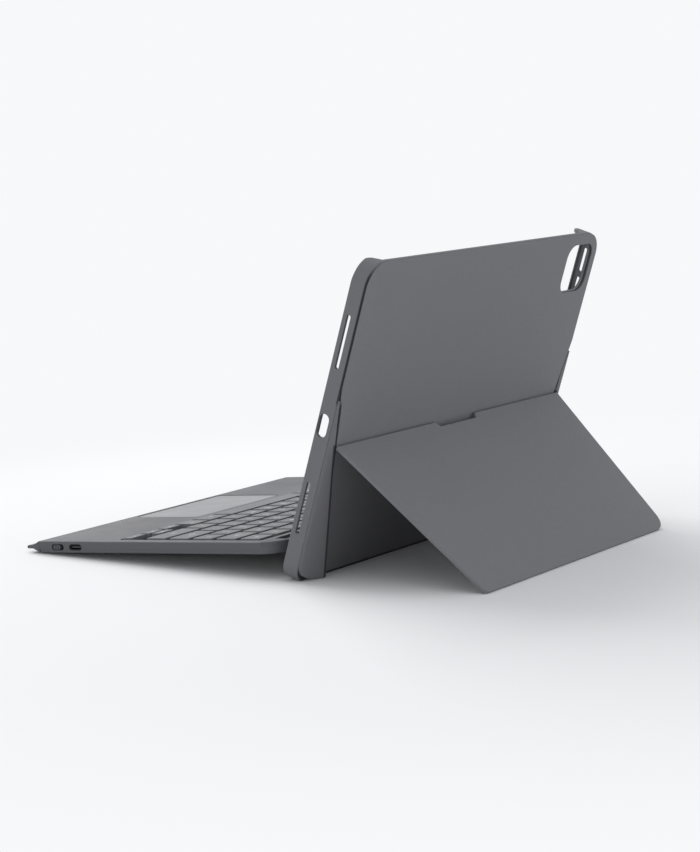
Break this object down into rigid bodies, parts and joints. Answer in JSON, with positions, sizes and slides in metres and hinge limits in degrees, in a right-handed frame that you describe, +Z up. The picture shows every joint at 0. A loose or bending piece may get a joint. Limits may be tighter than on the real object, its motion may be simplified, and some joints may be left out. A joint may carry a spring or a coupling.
{
  "type": "tablet keyboard case",
  "caption": "Folding tablet keyboard case: gripping tray with a fold-out kickstand on its back and a thin keyboard with touchpad on a hinged strip.",
  "frame": {"origin": "centre of the standing footprint, on the surface that the case stands on", "axes": "+Z up, +Y from the keyboard's front edge towards the kickstand, +X to the typist's right"},
  "size_m": [0.252, 0.2968, 0.1759],
  "materials": {
    "bumper": "matte moulded grey",
    "cover": "fine-grained grey covering",
    "pad": "soft grey covering",
    "strip": "soft grey covering",
    "lining": "short-pile microfibre",
    "steel": "dull steel",
    "magnet": "nickel plated",
    "core": "black plastic",
    "deck": "fine matte grey",
    "lip": "soft matte grey",
    "membrane": "dark film",
    "silicone": "soft dark silicone",
    "circuit": "green circuit board",
    "cell": "foil pouch",
    "tongue": "black plastic",
    "touch": "satin pale grey",
    "keycap": "matte grey",
    "knob": "matte grey"
  },
  "bodies": {
    "tray": {"tray_frame": "bumper", "back_panel": "cover", "side_pad_left": "pad", "side_pad_right": "pad", "pocket_lining": "lining", "back_steel_plate": "steel", "hinge_bracket": "steel", "hinge_pin": "steel", "bracket_rivets": "steel", "dock_magnets": "magnet", "strip_root": "strip"},
    "links": {"link_arm_left": "steel", "link_arm_right": "steel"},
    "kickstand": {"kickstand_board": "cover", "kickstand_lining": "lining", "stand_bracket": "steel", "stand_pin": "steel", "stand_magnets": "magnet"},
    "strip": {"hinge_strip": "strip", "strip_core": "core"},
    "keyboard": {"keyboard_deck": "deck", "keyboard_base": "deck", "base_screws": "steel", "front_lip": "lip", "strip_tail": "strip", "key_support_plate": "steel", "membrane_sheet": "membrane", "rubber_domes": "silicone", "main_board": "circuit", "battery": "cell", "usb_socket": "steel", "usb_tongue": "tongue", "switch_housing": "knob", "keyboard_feet": "silicone"},
    "touchpad": {"touchpad_plate": "touch", "touchpad_board": "circuit"},
    "power_switch": {"power_switch_knob": "knob"},
    "key_arrow_down": {"key_arrow_down": "keycap"},
    "key_arrow_left": {"key_arrow_left": "keycap"},
    "key_arrow_right": {"key_arrow_right": "keycap"},
    "key_arrow_up": {"key_arrow_up": "keycap"},
    "key_backspace": {"key_backspace": "keycap"},
    "key_caps": {"key_caps": "keycap"},
    "key_enter": {"key_enter": "keycap"},
    "key_shift_left": {"key_shift_left": "keycap"},
    "key_shift_right": {"key_shift_right": "keycap"},
    "key_space": {"key_space": "keycap"},
    "key_tab": {"key_tab": "keycap"},
    "keys_function_row": {"keys_function_row": "keycap"},
    "keys_home_row": {"keys_home_row": "keycap"},
    "keys_lower_letter_row": {"keys_lower_letter_row": "keycap"},
    "keys_modifier_row": {"keys_modifier_row": "keycap"},
    "keys_number_row": {"keys_number_row": "keycap"},
    "keys_upper_letter_row": {"keys_upper_letter_row": "keycap"}
  },
  "joints": [
    {"name": "link_pivot", "type": "hinge", "parent": "tray", "child": "links", "pos_m": [0, 0.05983, 0.05251], "axis": [-1, 0, 0], "range_deg": [-65, 0]},
    {"name": "stand_pivot", "type": "hinge", "parent": "links", "child": "kickstand", "pos_m": [0, 0.08619, 0.05601], "axis": [-1, 0, 0], "range_deg": [0, 130]},
    {"name": "strip_fold", "type": "hinge", "parent": "tray", "child": "strip", "pos_m": [0, 0.03281, 0.01135], "axis": [1, 0, 0], "range_deg": [0, 149]},
    {"name": "keyboard_fold", "type": "hinge", "parent": "strip", "child": "keyboard", "pos_m": [0, 0.03005, 0.02047], "axis": [-1, 0, 0], "range_deg": [0, 257.84]},
    {"name": "touchpad_click", "type": "hinge", "parent": "keyboard", "child": "touchpad", "pos_m": [0, -0.08829, 0.01006], "axis": [1, 0, 0], "range_deg": [0, 0.5], "stiffness_Nm_per_rad": 3, "springref_deg": -0.23},
    {"name": "power_switch_slide", "type": "slide", "parent": "keyboard", "child": "power_switch", "axis": [0, 0.9967, 0.0809], "range_m": [0, 0.0024]},
    {"name": "key_arrow_down_press", "type": "slide", "parent": "keyboard", "child": "key_arrow_down", "axis": [0, 0.0809, -0.9967], "range_m": [0, 0.001], "stiffness_N_per_m": 600, "springref_m": -0.0004},
    {"name": "key_arrow_left_press", "type": "slide", "parent": "keyboard", "child": "key_arrow_left", "axis": [0, 0.0809, -0.9967], "range_m": [0, 0.001], "stiffness_N_per_m": 600, "springref_m": -0.0004},
    {"name": "key_arrow_right_press", "type": "slide", "parent": "keyboard", "child": "key_arrow_right", "axis": [0, 0.0809, -0.9967], "range_m": [0, 0.001], "stiffness_N_per_m": 600, "springref_m": -0.0004},
    {"name": "key_arrow_up_press", "type": "slide", "parent": "keyboard", "child": "key_arrow_up", "axis": [0, 0.0809, -0.9967], "range_m": [0, 0.001], "stiffness_N_per_m": 600, "springref_m": -0.0004},
    {"name": "key_backspace_press", "type": "slide", "parent": "keyboard", "child": "key_backspace", "axis": [0, 0.0809, -0.9967], "range_m": [0, 0.001], "stiffness_N_per_m": 600, "springref_m": -0.0004},
    {"name": "key_caps_press", "type": "slide", "parent": "keyboard", "child": "key_caps", "axis": [0, 0.0809, -0.9967], "range_m": [0, 0.001], "stiffness_N_per_m": 600, "springref_m": -0.0004},
    {"name": "key_enter_press", "type": "slide", "parent": "keyboard", "child": "key_enter", "axis": [0, 0.0809, -0.9967], "range_m": [0, 0.001], "stiffness_N_per_m": 600, "springref_m": -0.0004},
    {"name": "key_shift_left_press", "type": "slide", "parent": "keyboard", "child": "key_shift_left", "axis": [0, 0.0809, -0.9967], "range_m": [0, 0.001], "stiffness_N_per_m": 600, "springref_m": -0.0004},
    {"name": "key_shift_right_press", "type": "slide", "parent": "keyboard", "child": "key_shift_right", "axis": [0, 0.0809, -0.9967], "range_m": [0, 0.001], "stiffness_N_per_m": 600, "springref_m": -0.0004},
    {"name": "key_space_press", "type": "slide", "parent": "keyboard", "child": "key_space", "axis": [0, 0.0809, -0.9967], "range_m": [0, 0.001], "stiffness_N_per_m": 600, "springref_m": -0.0004},
    {"name": "key_tab_press", "type": "slide", "parent": "keyboard", "child": "key_tab", "axis": [0, 0.0809, -0.9967], "range_m": [0, 0.001], "stiffness_N_per_m": 600, "springref_m": -0.0004},
    {"name": "keys_function_row_press", "type": "slide", "parent": "keyboard", "child": "keys_function_row", "axis": [0, 0.0809, -0.9967], "range_m": [0, 0.001], "stiffness_N_per_m": 2000, "springref_m": -0.0004},
    {"name": "keys_home_row_press", "type": "slide", "parent": "keyboard", "child": "keys_home_row", "axis": [0, 0.0809, -0.9967], "range_m": [0, 0.001], "stiffness_N_per_m": 2000, "springref_m": -0.0004},
    {"name": "keys_lower_letter_row_press", "type": "slide", "parent": "keyboard", "child": "keys_lower_letter_row", "axis": [0, 0.0809, -0.9967], "range_m": [0, 0.001], "stiffness_N_per_m": 2000, "springref_m": -0.0004},
    {"name": "keys_modifier_row_press", "type": "slide", "parent": "keyboard", "child": "keys_modifier_row", "axis": [0, 0.0809, -0.9967], "range_m": [0, 0.001], "stiffness_N_per_m": 2000, "springref_m": -0.0004},
    {"name": "keys_number_row_press", "type": "slide", "parent": "keyboard", "child": "keys_number_row", "axis": [0, 0.0809, -0.9967], "range_m": [0, 0.001], "stiffness_N_per_m": 2000, "springref_m": -0.0004},
    {"name": "keys_upper_letter_row_press", "type": "slide", "parent": "keyboard", "child": "keys_upper_letter_row", "axis": [0, 0.0809, -0.9967], "range_m": [0, 0.001], "stiffness_N_per_m": 2000, "springref_m": -0.0004}
  ],
  "couplings": [
    {"joint": "stand_pivot", "follows": "link_pivot", "ratio": -2},
    {"joint": "strip_fold", "follows": "keyboard_fold", "ratio": 0.56531}
  ]
}
